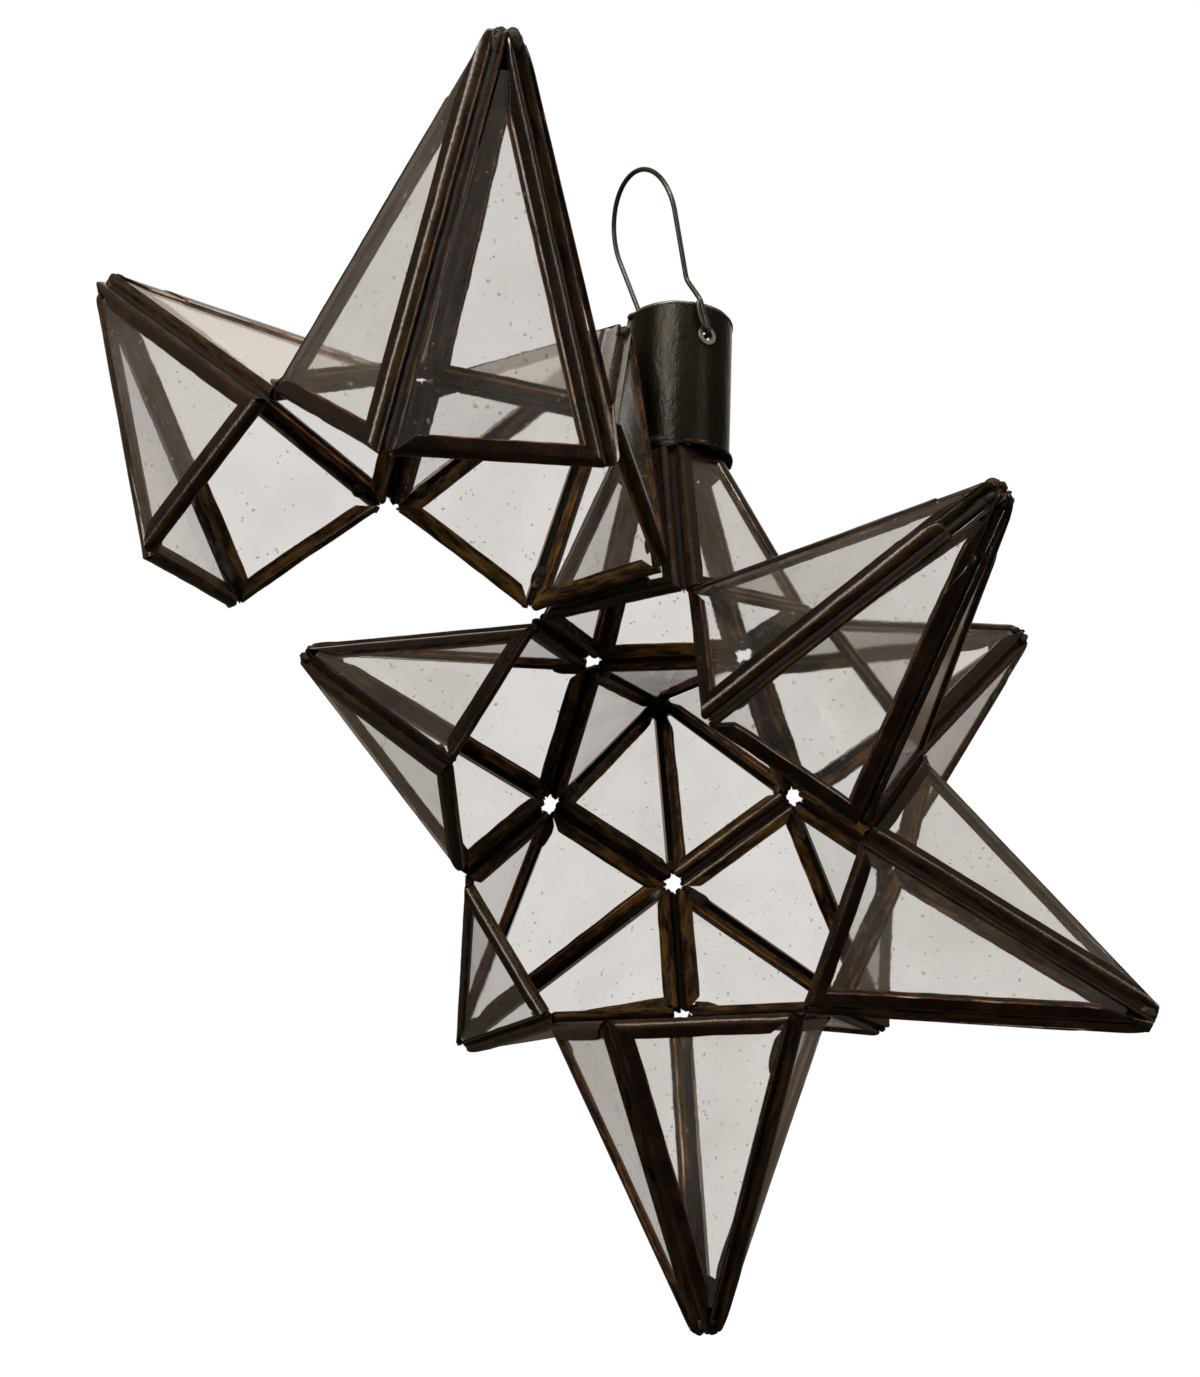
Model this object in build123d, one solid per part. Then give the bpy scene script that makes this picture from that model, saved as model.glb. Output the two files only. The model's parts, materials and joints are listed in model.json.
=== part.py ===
from build123d import *
import os
from math import acos, atan, atan2, cos, degrees, pi, radians, sin, sqrt, tan

# Hanging star lamp of glass panes in folded tin, with a three-point door that swings up.
# Millimetres. +Z runs up, +X to the right and -Y to the front. The origin is the hook point,
# inside the top of the bail. The pieces are made round the star's centre and moved at the end.

# Star
STAR_ACROSS = 300.0        # over two opposite tips
BASE_EDGE = 53.5           # side of the five-sided base of each point
TIP_BLUNT = 6.5            # length cut off each sharp tip
TIP_BEAD_HEIGHT = 1.0      # solder button that closes a cut tip
TIP_BEAD_RADIUS = 3.4

# Folded tin strips and the panes that they hold
CAME_WIDTH = 4.8
CAME_THICK = 4.8
CAME_ROUND = 1.2           # of the fold's two corners
CAME_SPINE = 1.2           # from the fold to the bottom of the slot
GLASS_THICK = 3.0
GLASS_FACE_PLAY = 0.1      # between a pane's face and the slot's side
GLASS_EDGE_PLAY = 0.3      # between a pane's edge and the slot's bottom
GLASS_NIP = 3.0            # width of a pane where its sharp corner is nipped off
RIDGE_SEAM = 0.2           # between the two strips of a ridge
BASE_SEAM = 0.4            # between the strips of two neighbouring points

# Solder run into the grooves between the strips
SEAM_FILL = 0.9            # up the folds, from the bottom of the groove
SEAM_GAP = 0.08
SEAM_FROM_CORNER = 7.0     # from a base corner to the solder's end
SEAM_FROM_END = 2.5        # from a ridge's upper end to the solder's end

# Neck
NECK_RADIUS = 18.0
NECK_WALL = 0.6
NECK_LENGTH = 50.0
NECK_OVERHANG = 3.6        # of the tube past the flats of the top point's cut
NECK_SHIFT = 2.3           # the foot sits this far right of the star's axis
NECK_LEAN = 4.2            # degrees, to the right
PLATE_THICK = 0.8
PLATE_RIM = 1.2            # the plate stands out this far round the tube
PLATE_CLEAR = 0.8          # of the plate's hole round the lampholder
PLATE_SEAT_GAP = 0.15
NECK_FILLET = 1.0          # solder round the tube's foot
NECK_FILLET_GAP = 0.05

# Eyelets and bail
HOLE_DROP = 11.1           # below the tube's rim
HOLE_TURN = 27.2           # degrees, the front hole's turn to the right
EYELET_BORE_RADIUS = 1.8
EYELET_WALL = 0.4
EYELET_LIP_RADIUS = 3.4
EYELET_LIP = 0.7
EYELET_INSIDE = 0.9        # how far an eyelet reaches in behind the tube's wall
EYELET_PLAY = 0.08
WIRE_RADIUS = 0.85
WIRE_CLEAR = 0.35          # between the bail's leg and the eyelet's lip
TAIL_INSET = 2.2           # from the tube's inner wall to the wire's bent-up end
TAIL_LENGTH = 5.0
WIRE_BEND = 2.0
LEG_BEND = 5.0
LEG_HEIGHT = 12.0          # straight part of a leg, over the holes
WAIST_HEIGHT = 21.0
WAIST_HALF = 15.6
LOOP_RADIUS = 19.6
LOOP_TOP = 66.0            # middle of the wire over the holes
BAIL_LEAN = 19.5           # degrees, to the front left

# Door hinge
DOOR_REST_GAP = 2.1        # left between the neck's rim and the opened door's upper point
HINGE_TILT = 3.2           # degrees, the barrel was soldered on askew
HINGE_LENGTH = 32.0
HINGE_CLEAR = 0.1          # between the barrel's low end and the strips
KNUCKLE_RADIUS = 1.2
KNUCKLE_GAP = 0.35
MIDDLE_KNUCKLE = 11.5
PIN_RADIUS = 0.6
PIN_PLAY = 0.05
PIN_PROUD = 0.6
LEAF_THICK = 0.6
LEAF_GAP = 0.08
LEAF_MARGIN = 0.8          # from the leaf's end to the strip's inner edge
SADDLE_HALF = 1.0

# Lampholder, hung in the neck on a strap
STRAP_THICK = 1.5
STRAP_WIDTH = 12.0
STRAP_END_PLAY = 0.1
NIPPLE_RADIUS = 5.0
NIPPLE_BORE_RADIUS = 3.5
NIPPLE_PLAY = 0.1
NIPPLE_PROUD = 2.5         # over the upper nut
NUT_FLATS = 14.0
NUT_THICK = 3.0
INNER_NUT_THICK = 2.2
CAP_RADIUS = 12.2
CAP_WALL = 1.6
CAP_ROOM = 1.2             # between the body's spigot and the nut inside the cap
HOLDER_MOUTH = 1.0         # the holder's lower end, over the tube's foot
HOLDER_FIT = 0.2           # between the cap and the body's spigot
HOLDER_FLOOR = 2.0
SPIGOT_LENGTH = 5.0
SHELL_BORE_RADIUS = 7.0    # takes a small screw-cap lamp, 14 mm nominal
SHELL_LENGTH = 15.0
SHELL_WALL = 0.6
SHELL_FIT = 0.2
SHELL_SETBACK = 0.5
LEDGE_THICK = 0.3          # of the ledge that stops the shell, up to the cap
LEDGE_WIDTH = 1.8
CONTACT_RADIUS = 2.5
CONTACT_THICK = 1.0
CONTACT_STEM_RADIUS = 1.2
CONTACT_PLAY = 0.15
CONTACT_CLEAR = 0.6        # from the screw shell's end to the contact

# The dodecahedron and the panes on it
RING_LATITUDE = degrees(atan(0.5))
FACE_HEIGHT = BASE_EDGE / 2 * sqrt((25 + 11 * sqrt(5)) / 10)
CORNER_RADIUS = BASE_EDGE * sqrt(3) * (1 + sqrt(5)) / 4
APOTHEM = BASE_EDGE / (2 * tan(pi / 5))
TIP_CUT = STAR_ACROSS / 2 - TIP_BEAD_HEIGHT
APEX = TIP_CUT + TIP_BLUNT
SLANT = sqrt((APEX - FACE_HEIGHT) ** 2 + APOTHEM ** 2)
PANE_TILT = atan2(APEX - FACE_HEIGHT, APOTHEM)
TIP_HALF_ANGLE = atan(BASE_EDGE / 2 / SLANT)
BODY_DIHEDRAL = acos(-1 / sqrt(5))
VALLEY = 2 * pi - BODY_DIHEDRAL - 2 * PANE_TILT
RIDGE_DIHEDRAL = pi - acos(cos(PANE_TILT) ** 2 + sin(PANE_TILT) ** 2 * cos(2 * pi / 5))
FOLD_FLAT = CAME_THICK / 2 - CAME_ROUND
RIDGE_REACH = RIDGE_SEAM / 2 + CAME_ROUND + FOLD_FLAT * cos(RIDGE_DIHEDRAL / 2)
RIDGE_INSET = RIDGE_REACH / sin(RIDGE_DIHEDRAL / 2) - CAME_ROUND
BASE_REACH = BASE_SEAM / 2 + CAME_ROUND + FOLD_FLAT * cos(VALLEY / 2)
BASE_INSET = BASE_REACH / sin(VALLEY / 2) - CAME_ROUND
SLOT_WIDTH = GLASS_THICK + 2 * GLASS_FACE_PLAY
GLASS_INSET = CAME_SPINE + GLASS_EDGE_PLAY
TOP_STRIP_TOP = APEX - (NECK_RADIUS - NECK_OVERHANG) * (APEX - FACE_HEIGHT) / APOTHEM
NECK_FOOT = TOP_STRIP_TOP + PLATE_SEAT_GAP + PLATE_THICK
TOP_RISE = TOP_STRIP_TOP - FACE_HEIGHT - CAME_ROUND - FOLD_FLAT * cos(PANE_TILT)
TOP_LINE = TOP_RISE / sin(PANE_TILT) + CAME_ROUND

POINTS = {
    "top_point": (0, 90),
    "bottom_point": (0, -90),
    "upper_back_point": (180, RING_LATITUDE),
    "upper_right_back_point": (108, RING_LATITUDE),
    "upper_left_back_point": (-108, RING_LATITUDE),
    "upper_right_front_point": (36, RING_LATITUDE),
    "door_upper_point": (-36, RING_LATITUDE),
    "door_front_point": (0, -RING_LATITUDE),
    "door_left_point": (-72, -RING_LATITUDE),
    "lower_right_point": (72, -RING_LATITUDE),
    "lower_right_back_point": (144, -RING_LATITUDE),
    "lower_left_back_point": (-144, -RING_LATITUDE),
}
DOOR = [name for name in POINTS if name.startswith("door")]


def direction(azimuth, latitude):
    """Unit vector at an azimuth, turning from the front to the right, and a latitude."""
    turn = radians(azimuth)
    rise = radians(latitude)
    return Vector(sin(turn) * cos(rise), -cos(turn) * cos(rise), sin(rise))


AXES = {name: direction(*angles) for name, angles in POINTS.items()}


def around(name):
    """The five points next to a point, counter-clockwise seen from outside."""
    axis = AXES[name]
    ring = [other for other in AXES if 0 < AXES[other].dot(axis) < 0.9]
    first = (AXES[ring[0]] - axis * AXES[ring[0]].dot(axis)).normalized()
    second = axis.cross(first)
    return sorted(ring, key=lambda other: atan2(AXES[other].dot(second), AXES[other].dot(first)))


def corner(*names):
    """The corner of the dodecahedron that three points share."""
    return sum((AXES[name] for name in names), Vector()).normalized() * CORNER_RADIUS


def panel_planes(name):
    """Each pane's own plane, by neighbour: x along its base edge, y up the slant, z outward."""
    ring = around(name)
    planes = {}
    for i, near in enumerate(ring):
        start = corner(name, ring[i - 1], near)
        end = corner(name, near, ring[(i + 1) % 5])
        middle = (start + end) / 2
        along = (end - start).normalized()
        slope = (AXES[name] * APEX - middle).normalized()
        planes[near] = Plane(origin=middle, x_dir=along, z_dir=along.cross(slope))
    return planes


def half_width(y, inset):
    """Half the width of a pane's outline at height y, drawn in from the ridges."""
    return (SLANT - y) * tan(TIP_HALF_ANGLE) - inset / cos(TIP_HALF_ANGLE)


def came(start, end, start_angle, end_angle):
    """A strip from start to end of an outline, mitred at both ends. The pane is on its left."""
    length = (end - start).length
    section = Pos(CAME_WIDTH / 2, 0) * Rectangle(CAME_WIDTH, CAME_THICK)
    folded = fillet(section.vertices().sort_by(Axis.X)[:2], CAME_ROUND)
    bar = extrude(Plane.YZ * folded, length)
    mitred = Polygon(
        (0, 0),
        (length, 0),
        (length - CAME_WIDTH / tan(end_angle / 2), CAME_WIDTH),
        (CAME_WIDTH / tan(start_angle / 2), CAME_WIDTH),
        align=None,
    )
    strip = bar & extrude(mitred, CAME_THICK, both=True)
    return strip.solid().moved(Plane(origin=start, x_dir=end - start, z_dir=(0, 0, 1)).location)


def tip_plane():
    """The cut across a point's tip, in a pane's own plane."""
    up = Vector(0, sin(PANE_TILT), cos(PANE_TILT))
    return Plane(origin=up * (TIP_CUT - FACE_HEIGHT), z_dir=up)


def outline(top):
    """Outline of a pane with its strips: base corners, then the corners at a height."""
    low = half_width(BASE_INSET, RIDGE_INSET)
    high = half_width(top, RIDGE_INSET)
    return [Vector(-low, BASE_INSET), Vector(low, BASE_INSET), Vector(high, top), Vector(-high, top)]


BASE_ANGLE = pi / 2 - TIP_HALF_ANGLE
LIP_ANGLE = pi - BASE_ANGLE
TIP_TOP = SLANT - RIDGE_INSET / sin(TIP_HALF_ANGLE)


def rim_came():
    """The strip along a pane's base edge."""
    left, right, _, _ = outline(TOP_LINE)
    return came(left, right, BASE_ANGLE, BASE_ANGLE)


def ridge_cames(top, top_angle):
    """The two strips up a pane's sides, to a height."""
    left, right, top_right, top_left = outline(top)
    return [
        came(right, top_right, BASE_ANGLE, top_angle),
        came(top_left, left, top_angle, BASE_ANGLE),
    ]


def pane_block(top, play, thick):
    """A pane's outline up to a height, grown by a play, as a block."""
    inset = RIDGE_INSET + GLASS_INSET
    foot = BASE_INSET + GLASS_INSET
    grow = play / cos(TIP_HALF_ANGLE)
    low = half_width(foot - play, inset) + grow
    high = half_width(top + play, inset) + grow
    corners = [(-low, foot - play), (low, foot - play), (high, top + play), (-high, top + play)]
    return extrude(Polygon(*corners, align=None), thick / 2, both=True)


def glazed(top, strips):
    """A pane up to a height, and its strips with their slots cut for it."""
    slot = pane_block(top, GLASS_EDGE_PLAY, SLOT_WIDTH)
    return pane_block(top, 0, GLASS_THICK).solid(), [(strip - slot).solid() for strip in strips]


def point_pieces():
    """Panes and strips of one whole panel, in its own plane."""
    inset = (RIDGE_INSET + GLASS_INSET) / cos(TIP_HALF_ANGLE)
    nipped = SLANT - (GLASS_NIP / 2 + inset) / tan(TIP_HALF_ANGLE)
    pane, strips = glazed(nipped, [*ridge_cames(TIP_TOP, 2 * TIP_HALF_ANGLE), rim_came()])
    blunt = [split(strip, bisect_by=tip_plane(), keep=Keep.BOTTOM).solid() for strip in strips[:2]]
    return {"glass": [pane], "ridge_cames": blunt, "rim_cames": strips[2:]}


def top_point_pieces():
    """Panes and strips of one panel of the point that is cut short at the neck."""
    _, _, top_right, top_left = outline(TOP_LINE)
    lip = came(top_right, top_left, LIP_ANGLE, LIP_ANGLE)
    pane, strips = glazed(TOP_LINE - GLASS_INSET, [*ridge_cames(TOP_LINE, LIP_ANGLE), rim_came(), lip])
    return {"glass": [pane], "ridge_cames": strips[:2], "rim_cames": strips[2:]}


def place(pieces, planes):
    """Copies of a panel's pieces on each of the planes."""
    return [piece.moved(plane.location) for plane in planes for piece in pieces]


def seam(start, end, opening, inset, dihedral):
    """Solder from start to end of an edge, low in the groove between two folds. It opens one way."""
    half = dihedral / 2
    low = -FOLD_FLAT
    high = low + SEAM_FILL
    (x_low, y_low), (x_high, y_high) = [
        (inset * sin(half) + along * cos(half) - SEAM_GAP, along * sin(half) - inset * cos(half))
        for along in (low, high)
    ]
    shape = Polygon((-x_low, y_low), (x_low, y_low), (x_high, y_high), (-x_high, y_high), align=None)
    run = end - start
    groove = Plane(origin=start, x_dir=opening.cross(run), z_dir=run)
    return extrude(shape, run.length).solid().moved(groove.location)


def ridge_seams(name):
    """The solder along each ridge of a point, on its outside."""
    ring = around(name)
    planes = panel_planes(name)
    share = TOP_LINE / SLANT if name == "top_point" else (TIP_CUT - FACE_HEIGHT) / (APEX - FACE_HEIGHT)
    seams = []
    for i, near in enumerate(ring):
        foot = corner(name, ring[i - 1], near)
        ridge = AXES[name] * APEX - foot
        along = ridge.normalized()
        outward = planes[near].z_dir + planes[ring[i - 1]].z_dir
        start = foot + along * SEAM_FROM_CORNER
        end = foot + ridge * share - along * SEAM_FROM_END
        seams.append(seam(start, end, outward, RIDGE_INSET, RIDGE_DIHEDRAL))
    return seams


def base_seams(name, others):
    """The solder along the base edges that a point shares with the others, on their inside."""
    planes = panel_planes(name)
    seams = []
    for near in others:
        middle = planes[near].origin
        reach = planes[near].x_dir * (BASE_EDGE / 2 - SEAM_FROM_CORNER)
        seams.append(seam(middle - reach, middle + reach, middle * -1, BASE_INSET, VALLEY))
    return seams


def tip_bead(name):
    """The solder button on a cut tip."""
    curve = (TIP_BEAD_RADIUS ** 2 + TIP_BEAD_HEIGHT ** 2) / (2 * TIP_BEAD_HEIGHT)
    ball = Pos(0, 0, TIP_BEAD_HEIGHT - curve) * Sphere(curve)
    button = split(ball, bisect_by=Plane.XY, keep=Keep.TOP).solid()
    return button.moved(Plane(origin=AXES[name] * TIP_CUT, z_dir=AXES[name]).location)


def solder(names):
    """All the solder that holds a group of points together."""
    pieces = []
    for i, name in enumerate(names):
        pieces += ridge_seams(name)
        pieces += base_seams(name, [near for near in names[:i] if near in around(name)])
        if name != "top_point":
            pieces.append(tip_bead(name))
    return pieces


# The hinge's barrel lies in the valley between the top point and the door.
HINGE_PANEL = panel_planes("top_point")["door_upper_point"]
DOOR_PANEL = panel_planes("door_upper_point")["top_point"]
EDGE_OUT = HINGE_PANEL.origin.normalized()
EDGE_ALONG = HINGE_PANEL.x_dir
HINGE_DROP = HINGE_LENGTH / 2 * tan(radians(HINGE_TILT))
HINGE_STANDOFF = (CAME_THICK / 2 + KNUCKLE_RADIUS + HINGE_CLEAR) / sin(VALLEY / 2) + HINGE_DROP
HINGE_POINT = HINGE_PANEL.origin + EDGE_OUT * HINGE_STANDOFF
HINGE_AXIS = (EDGE_ALONG + EDGE_OUT * tan(radians(HINGE_TILT))).normalized()
HINGE = Plane(origin=HINGE_POINT, x_dir=EDGE_OUT - HINGE_AXIS * EDGE_OUT.dot(HINGE_AXIS), z_dir=HINGE_AXIS)


def on_pin(radius, start, end):
    """A cylinder on the hinge's axis, between two places along it."""
    rod = Cylinder(radius, end - start, align=(Align.CENTER, Align.CENTER, Align.MIN))
    return HINGE * Pos(0, 0, start) * rod


def knuckle(start, end, panel):
    """A rolled knuckle on a saddle, with its leaf flat on the strip of a panel."""
    middle = panel.to_local_coords(HINGE_POINT + HINGE_AXIS * ((start + end) / 2))
    face = CAME_THICK / 2 + LEAF_GAP
    leaf_end = BASE_INSET + CAME_WIDTH - LEAF_MARGIN
    leaf_start = middle.Y - SADDLE_HALF
    low = (Align.CENTER, Align.MIN, Align.MIN)
    leaf = Pos(middle.X, leaf_start, face) * Box(end - start, leaf_end - leaf_start, LEAF_THICK, align=low)
    saddle = Pos(middle.X, leaf_start, face) * Box(end - start, 2 * SADDLE_HALF, middle.Z - face, align=low)
    barrel = on_pin(KNUCKLE_RADIUS, start, end)
    hole = on_pin(PIN_RADIUS + PIN_PLAY, -HINGE_LENGTH, HINGE_LENGTH)
    return (barrel + panel * leaf + panel * saddle - hole).solid()


def star_knuckles():
    """The two outer knuckles, on the top point."""
    inner = MIDDLE_KNUCKLE / 2 + KNUCKLE_GAP
    return [
        knuckle(-HINGE_LENGTH / 2, -inner, HINGE_PANEL),
        knuckle(inner, HINGE_LENGTH / 2, HINGE_PANEL),
    ]


def door_knuckle():
    """The middle knuckle, on the door."""
    return knuckle(-MIDDLE_KNUCKLE / 2, MIDDLE_KNUCKLE / 2, DOOR_PANEL)


def hinge_pin():
    """The wire through the knuckles."""
    end = HINGE_LENGTH / 2 + PIN_PROUD
    return on_pin(PIN_RADIUS, -end, end).solid()


# The neck and what it holds stand in a frame that leans with the tube.
LEAN = radians(NECK_LEAN)
NECK = Plane(origin=(NECK_SHIFT, 0, NECK_FOOT), x_dir=(cos(LEAN), 0, -sin(LEAN)), z_dir=(sin(LEAN), 0, cos(LEAN)))
FOOT = Plane(origin=(0, 0, NECK_FOOT))
NECK_BORE = NECK_RADIUS - NECK_WALL
HOLE_HEIGHT = NECK_LENGTH - HOLE_DROP
PIVOT_AZIMUTH = HOLE_TURN - 90
PIVOT = Pos(0, 0, HOLE_HEIGHT) * Rot(0, 0, PIVOT_AZIMUTH)
UP = (Align.CENTER, Align.CENTER, Align.MIN)


def ring(outer, inner, start, end):
    """A round sleeve on the neck's own axis, between two heights over its foot."""
    sleeve = Cylinder(outer, end - start, align=UP) - Cylinder(inner, end - start, align=UP)
    return Pos(0, 0, start) * sleeve


def neck_tube():
    """The tube, cut level at its foot, with a hole for each eyelet."""
    tube = ring(NECK_RADIUS, NECK_BORE, -NECK_RADIUS, NECK_LENGTH)
    hole = Cylinder(EYELET_BORE_RADIUS + EYELET_WALL + EYELET_PLAY, 3 * NECK_RADIUS)
    drilled = NECK * (tube - PIVOT * Rot(0, 90, 0) * hole)
    return split(drilled, bisect_by=FOOT, keep=Keep.TOP).solid()


def neck_plate():
    """The round plate between the top point and the tube."""
    outer = NECK_RADIUS + PLATE_RIM
    plate = ring(outer, CAP_RADIUS + PLATE_CLEAR, -PLATE_THICK, 0)
    return (Pos(NECK_SHIFT, 0, NECK_FOOT) * plate).solid()


def neck_solder():
    """The solder fillet round the tube's foot."""
    low = -NECK_FILLET
    wide = NECK_RADIUS + 2 * NECK_FILLET
    cone = Pos(0, 0, low) * Cone(wide, NECK_RADIUS, 2 * NECK_FILLET, align=UP)
    fillet_ring = cone - Pos(0, 0, low) * Cylinder(NECK_RADIUS + NECK_FILLET_GAP, 2 * NECK_FILLET, align=UP)
    return split(NECK * fillet_ring, bisect_by=FOOT, keep=Keep.TOP).solid()


def eyelets():
    """A flared eyelet in each hole of the tube."""
    barrel_radius = EYELET_BORE_RADIUS + EYELET_WALL
    start = NECK_BORE - EYELET_INSIDE
    lip = NECK_RADIUS + EYELET_PLAY
    sleeve = ring(barrel_radius, EYELET_BORE_RADIUS, start, lip + EYELET_LIP)
    flange = ring(EYELET_LIP_RADIUS, EYELET_BORE_RADIUS, lip, lip + EYELET_LIP)
    eyelet = sleeve + flange
    outer_edge = eyelet.edges().filter_by(GeomType.CIRCLE).sort_by(Axis.Z)[-2:].sort_by(SortBy.RADIUS)[-1]
    rounded = fillet(outer_edge, EYELET_LIP / 2)
    return [(NECK * PIVOT * Rot(0, side * 90, 0) * rounded).solid() for side in (-1, 1)]


# The bail is drawn in its own plane: x along the pivot, y up.
LEG_AT = NECK_RADIUS + EYELET_PLAY + EYELET_LIP + WIRE_CLEAR + WIRE_RADIUS
TAIL_AT = NECK_BORE - TAIL_INSET
LOOP_MIDDLE = LOOP_TOP - LOOP_RADIUS


def bail_route(side):
    """One half of the wire, from its bent-up end through the eyelet and up to the loop."""
    reach = sqrt(WAIST_HALF ** 2 + (LOOP_MIDDLE - WAIST_HEIGHT) ** 2)
    turn = atan2(WAIST_HEIGHT - LOOP_MIDDLE, WAIST_HALF) + acos(LOOP_RADIUS / reach)
    touch = (side * LOOP_RADIUS * cos(turn), LOOP_MIDDLE + LOOP_RADIUS * sin(turn))
    route = FilletPolyline(
        (side * TAIL_AT, TAIL_LENGTH),
        (side * TAIL_AT, 0),
        (side * LEG_AT, 0),
        (side * LEG_AT, LEG_HEIGHT),
        (side * WAIST_HALF, WAIST_HEIGHT),
        touch,
        radius=[WIRE_BEND, WIRE_BEND, LEG_BEND, LEG_BEND],
    )
    return route, touch


def bail_plane():
    """The bail's plane, in the neck's frame, leaning to the front left."""
    return PIVOT * Rot(90 + BAIL_LEAN, 0, 0)


def bail_wire():
    """The bent wire, as one sweep from end to end."""
    right, right_touch = bail_route(1)
    left, left_touch = bail_route(-1)
    loop = ThreePointArc(right_touch, (0, LOOP_TOP), left_touch)
    path = Wire([*right.edges(), *loop.edges(), *left.edges()])
    section = Plane(origin=(TAIL_AT, TAIL_LENGTH, 0), z_dir=(0, -1, 0)) * Circle(WIRE_RADIUS)
    wire = sweep(section, path=path)
    return (NECK * bail_plane() * wire).solid()


# Lampholder heights over the tube's foot, from the holder's mouth up
SHELL_FOOT = HOLDER_MOUTH + SHELL_SETBACK
SHELL_TOP = SHELL_FOOT + SHELL_LENGTH
LEDGE = SHELL_TOP + SHELL_FIT
CAP_FOOT = LEDGE + LEDGE_THICK
SPIGOT_TOP = CAP_FOOT + SPIGOT_LENGTH
FLOOR = SPIGOT_TOP - HOLDER_FLOOR
INNER_NUT_FOOT = SPIGOT_TOP + CAP_ROOM
INNER_NUT_TOP = INNER_NUT_FOOT + INNER_NUT_THICK
STRAP_HEIGHT = INNER_NUT_TOP + CAP_WALL
STRAP_TOP = STRAP_HEIGHT + STRAP_THICK
NIPPLE_TOP = STRAP_TOP + NUT_THICK + NIPPLE_PROUD
SHELL_RADIUS = SHELL_BORE_RADIUS + SHELL_WALL
LEDGE_RADIUS = SHELL_RADIUS + SHELL_FIT - LEDGE_WIDTH
CONTACT_FOOT = SHELL_TOP + CONTACT_CLEAR


def strap():
    """The bar across the tube, with the nipple's hole."""
    bar = Pos(0, 0, STRAP_HEIGHT) * Box(3 * NECK_RADIUS, STRAP_WIDTH, STRAP_THICK, align=UP)
    inside = Pos(0, 0, STRAP_HEIGHT) * Cylinder(NECK_BORE - STRAP_END_PLAY, STRAP_THICK, align=UP)
    hole = Pos(0, 0, STRAP_HEIGHT) * Cylinder(NIPPLE_RADIUS + NIPPLE_PLAY, STRAP_THICK, align=UP)
    return [(NECK * Rot(0, 0, PIVOT_AZIMUTH + 90) * ((bar & inside) - hole)).solid()]


def nipple():
    """The threaded tube that the cord would come through."""
    return [(NECK * ring(NIPPLE_RADIUS, NIPPLE_BORE_RADIUS, INNER_NUT_FOOT, NIPPLE_TOP)).solid()]


def nut(foot, thick):
    """A hexagon nut on the nipple."""
    hexagon = RegularPolygon(NUT_FLATS / 2, 6, major_radius=False) - Circle(NIPPLE_RADIUS + NIPPLE_PLAY)
    return (NECK * Pos(0, 0, foot) * extrude(hexagon, thick)).solid()


def nuts():
    """The nut over the strap, and the one inside the cap."""
    return [nut(STRAP_TOP, NUT_THICK), nut(INNER_NUT_FOOT, INNER_NUT_THICK)]


def holder_cap():
    """The cup under the strap that closes the lampholder."""
    side = ring(CAP_RADIUS, CAP_RADIUS - CAP_WALL, CAP_FOOT, STRAP_HEIGHT)
    crown = ring(CAP_RADIUS, NIPPLE_RADIUS + NIPPLE_PLAY, INNER_NUT_TOP, STRAP_HEIGHT)
    return [(NECK * (side + crown)).solid()]


def holder_body():
    """The insulating body, with a ledge over the shell, a spigot up into the cap and a floor."""
    skirt = ring(CAP_RADIUS, SHELL_RADIUS + SHELL_FIT, HOLDER_MOUTH, LEDGE)
    ledge = ring(CAP_RADIUS, LEDGE_RADIUS, LEDGE, CAP_FOOT)
    spigot = ring(CAP_RADIUS - CAP_WALL - HOLDER_FIT, LEDGE_RADIUS, CAP_FOOT, SPIGOT_TOP)
    floor = ring(LEDGE_RADIUS, CONTACT_STEM_RADIUS + CONTACT_PLAY, FLOOR, SPIGOT_TOP)
    return [(NECK * (skirt + ledge + spigot + floor)).solid()]


def screw_shell():
    """The brass shell that the lamp screws into."""
    return [(NECK * ring(SHELL_RADIUS, SHELL_BORE_RADIUS, SHELL_FOOT, SHELL_TOP)).solid()]


def centre_contact():
    """The brass contact, on a stem through the body's floor."""
    button = Pos(0, 0, CONTACT_FOOT) * Cylinder(CONTACT_RADIUS, CONTACT_THICK, align=UP)
    stem = Pos(0, 0, CONTACT_FOOT) * Cylinder(CONTACT_STEM_RADIUS, SPIGOT_TOP - CONTACT_FOOT, align=UP)
    return [(NECK * (button + stem)).solid()]


# The hook point is the inside of the bail's top, at rest.
HOOK = (NECK * bail_plane() * Pos(0, LOOP_TOP - WIRE_RADIUS, 0)).position
TO_ROW = Location(HOOK * -1)
OPENED = Axis(HINGE_POINT, HINGE_AXIS)


def door_angle():
    """Degrees from shut to open, where the door's upper pane comes close to the neck's rim."""
    outward = Vector(HINGE_POINT.X, HINGE_POINT.Y, 0).normalized()
    rim = NECK.origin + NECK.z_dir * NECK_LENGTH + outward * NECK_RADIUS
    across = (rim - HINGE_POINT).dot(outward)
    up = rim.Z - HINGE_POINT.Z
    pane_out = HINGE_STANDOFF * sin(VALLEY / 2) - CAME_THICK / 2
    slope = atan2(across, up) + acos((pane_out - DOOR_REST_GAP) / sqrt(across ** 2 + up ** 2))
    return degrees(VALLEY + PANE_TILT - slope)


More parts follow.
